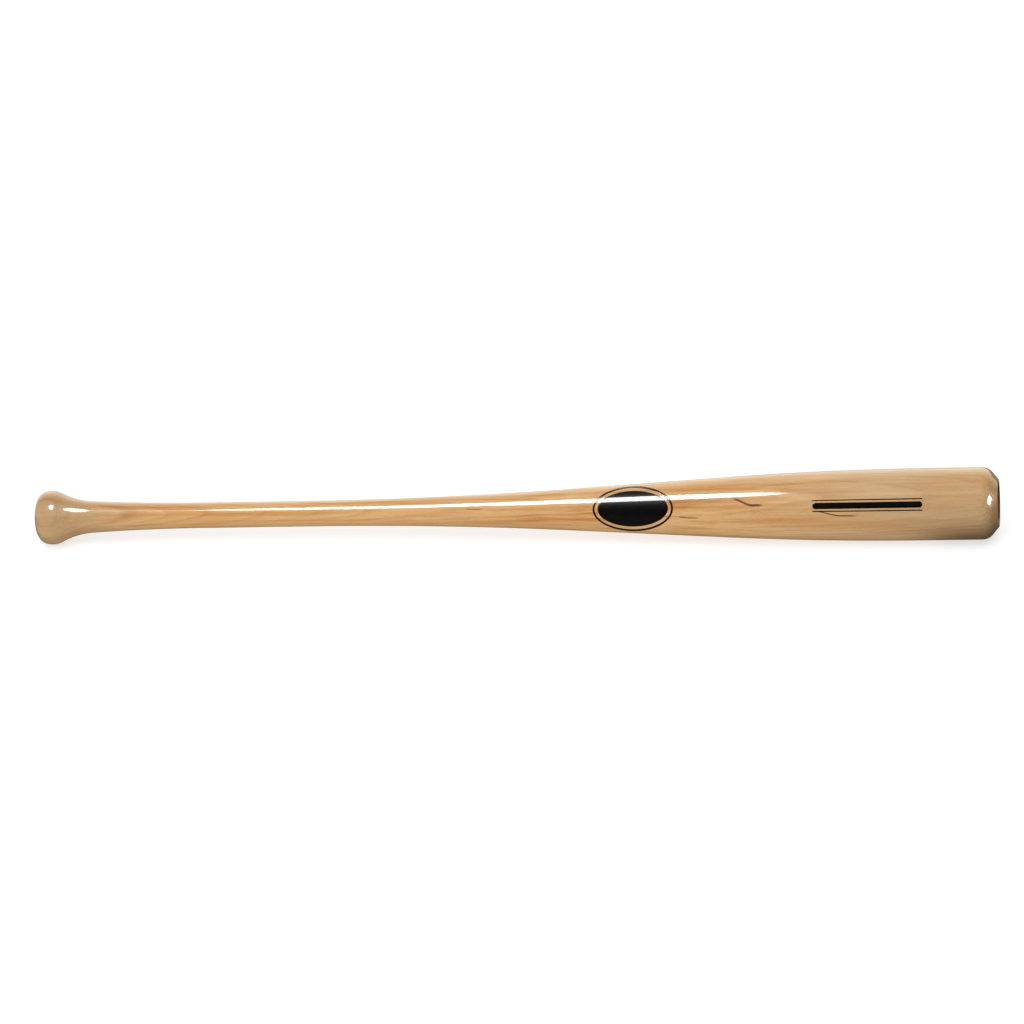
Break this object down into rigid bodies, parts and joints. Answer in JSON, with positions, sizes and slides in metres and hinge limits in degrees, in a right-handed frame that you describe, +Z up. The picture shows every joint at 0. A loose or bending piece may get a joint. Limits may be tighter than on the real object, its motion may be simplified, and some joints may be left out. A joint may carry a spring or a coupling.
{
  "type": "baseball bat",
  "caption": "Full-size wooden baseball bat turned from solid maple, with round knob, bare slim handle, tapering barrel, cupped end and black foil marks under clear lacquer.",
  "frame": {"origin": "centre of the knob's flat end, on the bat's axis", "axes": "+X along the bat's axis from the knob to the barrel's end; +Z up with the bat lying level; the marks face -Y and up"},
  "size_m": [0.8636, 0.0634, 0.0635],
  "materials": {
    "lacquered_maple": "pale hard maple with straight grain under high-gloss clear lacquer",
    "black_foil": "black foil under the same gloss lacquer"
  },
  "bodies": {
    "root": {"bat_billet": "lacquered_maple", "emblem_oval": "black_foil", "emblem_ring": "black_foil", "barrel_bar": "black_foil", "upper_pinstripe": "black_foil", "lower_pinstripe": "black_foil"}
  },
  "joints": []
}
